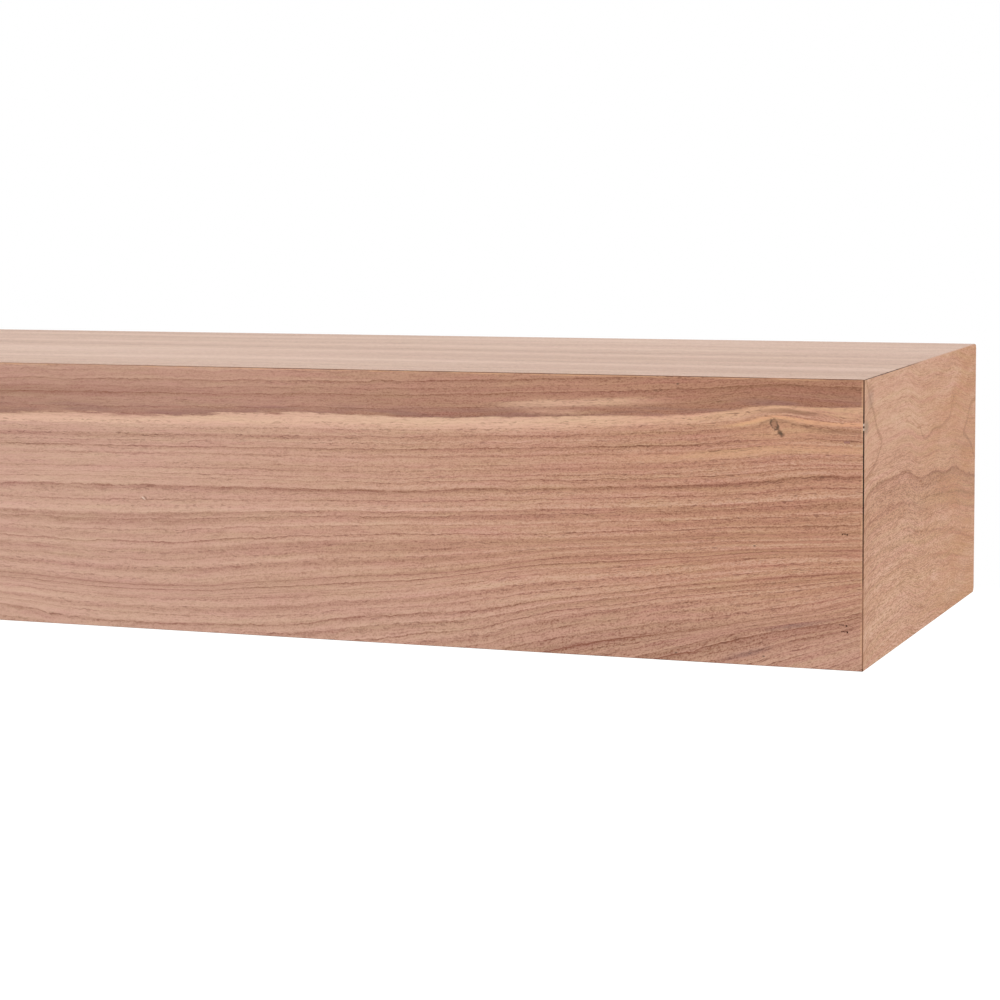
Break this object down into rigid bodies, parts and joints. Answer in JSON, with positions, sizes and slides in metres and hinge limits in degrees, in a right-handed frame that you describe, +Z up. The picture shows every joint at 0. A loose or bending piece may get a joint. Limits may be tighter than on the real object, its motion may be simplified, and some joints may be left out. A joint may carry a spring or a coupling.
{
  "type": "floating wall shelf",
  "caption": "Hollow mitred walnut box shelf that slides onto a hidden steel rod bracket screwed to the wall and locks from below.",
  "frame": {"origin": "on the wall, at the middle of the bracket's back face, which is also the middle of the box's length and height", "axes": "+X to the right along the shelf as seen from the room, +Y into the wall, +Z up"},
  "size_m": [0.914, 0.254, 0.14],
  "materials": {
    "walnut": "sanded, unoiled",
    "plywood": "sawn",
    "poplar": "planed",
    "black_steel": "satin powder coat",
    "brass": "turned",
    "screw_steel": "black oxide",
    "brad_steel": "dulled bright wire"
  },
  "bodies": {
    "bracket": {"wall_plate": "black_steel", "left_outer_rod": "black_steel", "left_inner_rod": "black_steel", "right_inner_rod": "black_steel", "right_outer_rod": "black_steel"},
    "shelf": {"top_board": "walnut", "bottom_board": "walnut", "front_board": "walnut", "left_end_board": "walnut", "right_end_board": "walnut", "top_front_spline": "plywood", "bottom_front_spline": "plywood", "top_left_end_spline": "plywood", "top_right_end_spline": "plywood", "bottom_left_end_spline": "plywood", "bottom_right_end_spline": "plywood", "left_end_upper_brad": "brad_steel", "left_end_middle_brad": "brad_steel", "left_end_lower_brad": "brad_steel", "right_end_upper_brad": "brad_steel", "right_end_middle_brad": "brad_steel", "right_end_lower_brad": "brad_steel", "left_outer_channel_top": "poplar", "left_outer_channel_bottom": "poplar", "left_outer_channel_left": "poplar", "left_outer_channel_right": "poplar", "left_inner_channel_top": "poplar", "left_inner_channel_bottom": "poplar", "left_inner_channel_left": "poplar", "left_inner_channel_right": "poplar", "right_inner_channel_top": "poplar", "right_inner_channel_bottom": "poplar", "right_inner_channel_left": "poplar", "right_inner_channel_right": "poplar", "right_outer_channel_top": "poplar", "right_outer_channel_bottom": "poplar", "right_outer_channel_left": "poplar", "right_outer_channel_right": "poplar", "left_outer_threaded_insert": "brass", "right_outer_threaded_insert": "brass", "left_outer_locking_screw": "screw_steel", "right_outer_locking_screw": "screw_steel"}
  },
  "joints": [
    {"name": "shelf_slide", "type": "slide", "parent": "bracket", "child": "shelf", "axis": [0, -1, 0], "range_m": [0, 0.2]}
  ]
}
